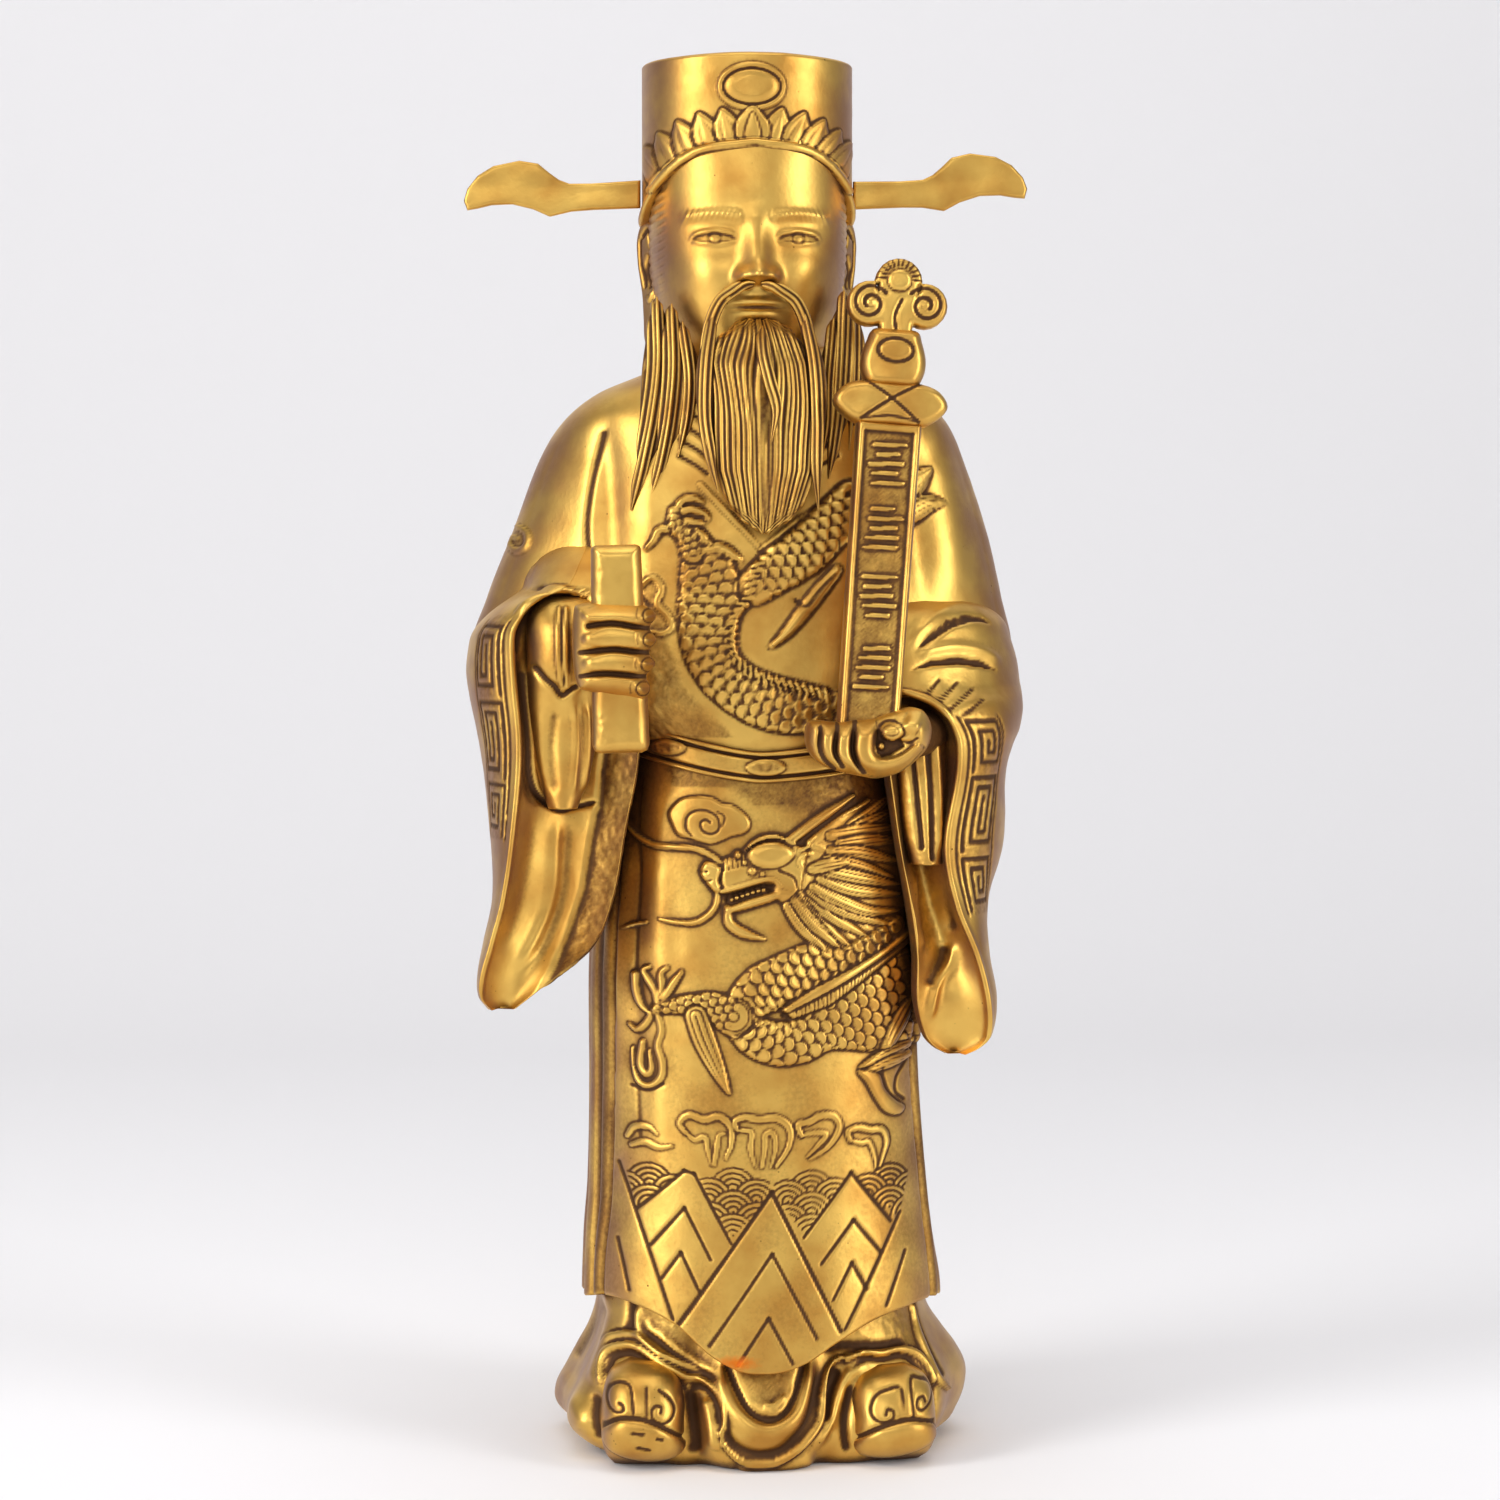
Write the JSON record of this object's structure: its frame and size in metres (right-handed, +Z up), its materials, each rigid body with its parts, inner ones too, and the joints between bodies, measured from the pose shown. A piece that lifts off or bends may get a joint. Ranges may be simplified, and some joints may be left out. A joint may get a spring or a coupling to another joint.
{
  "type": "standing official figure",
  "caption": "Cast brass statue of a standing official in court dress, with a winged hat, long beard, tablet, upright sword and a dragon in relief on the robe, on a flat underside.",
  "frame": {"origin": "middle of the flat underside, below the figure's head", "axes": "+Z up through the figure, -Y towards the viewer that the figure faces, +X to that viewer's right"},
  "size_m": [0.1622, 0.1176, 0.401],
  "materials": {
    "brass": "polished on the high places, with brown patina left in the hollows"
  },
  "bodies": {
    "root": {"figure": "brass", "hat_wing_left": "brass", "hat_wing_right": "brass"}
  },
  "joints": []
}
